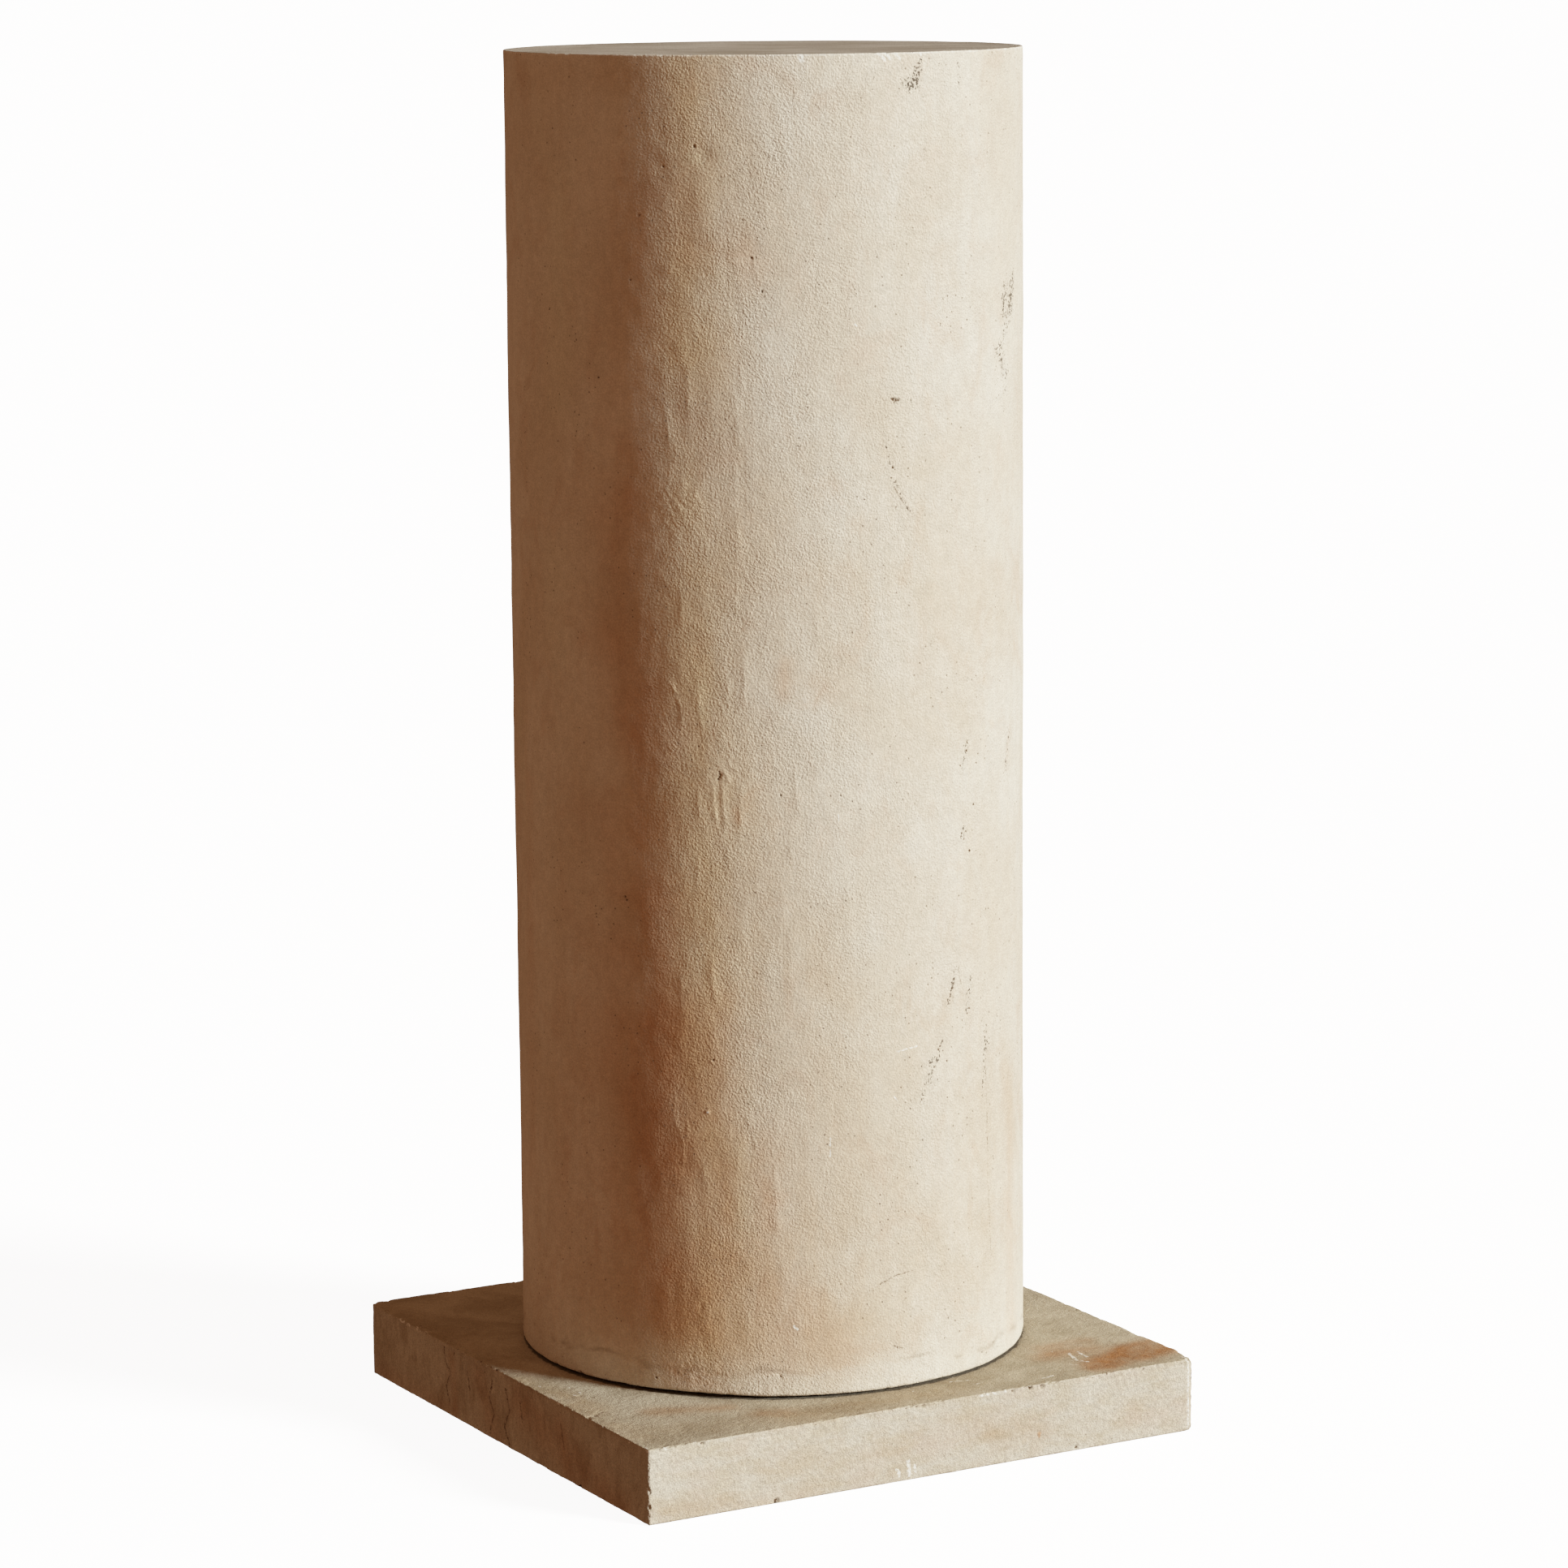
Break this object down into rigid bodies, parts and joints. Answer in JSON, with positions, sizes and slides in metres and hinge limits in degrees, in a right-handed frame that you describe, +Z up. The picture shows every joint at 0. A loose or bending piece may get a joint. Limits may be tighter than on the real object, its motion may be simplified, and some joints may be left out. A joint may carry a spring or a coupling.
{
  "type": "column pedestal",
  "caption": "Plain round column pedestal of sand-coloured plaster on a square slab plinth, with a flat top that carries a bust, a vase or a plant.",
  "frame": {"origin": "centre of the plinth's underside, on the floor", "axes": "+Z up along the shaft's axis; the plinth's sides lie along X and Y; -Y is the broad lit face in the picture and -X the shaded one, with the crisp corner between them"},
  "size_m": [0.457, 0.457, 1.0103],
  "materials": {
    "shaft_plaster": "matte",
    "plinth_plaster": "matte"
  },
  "bodies": {
    "root": {"shaft": "shaft_plaster", "plinth": "plinth_plaster"}
  },
  "joints": []
}
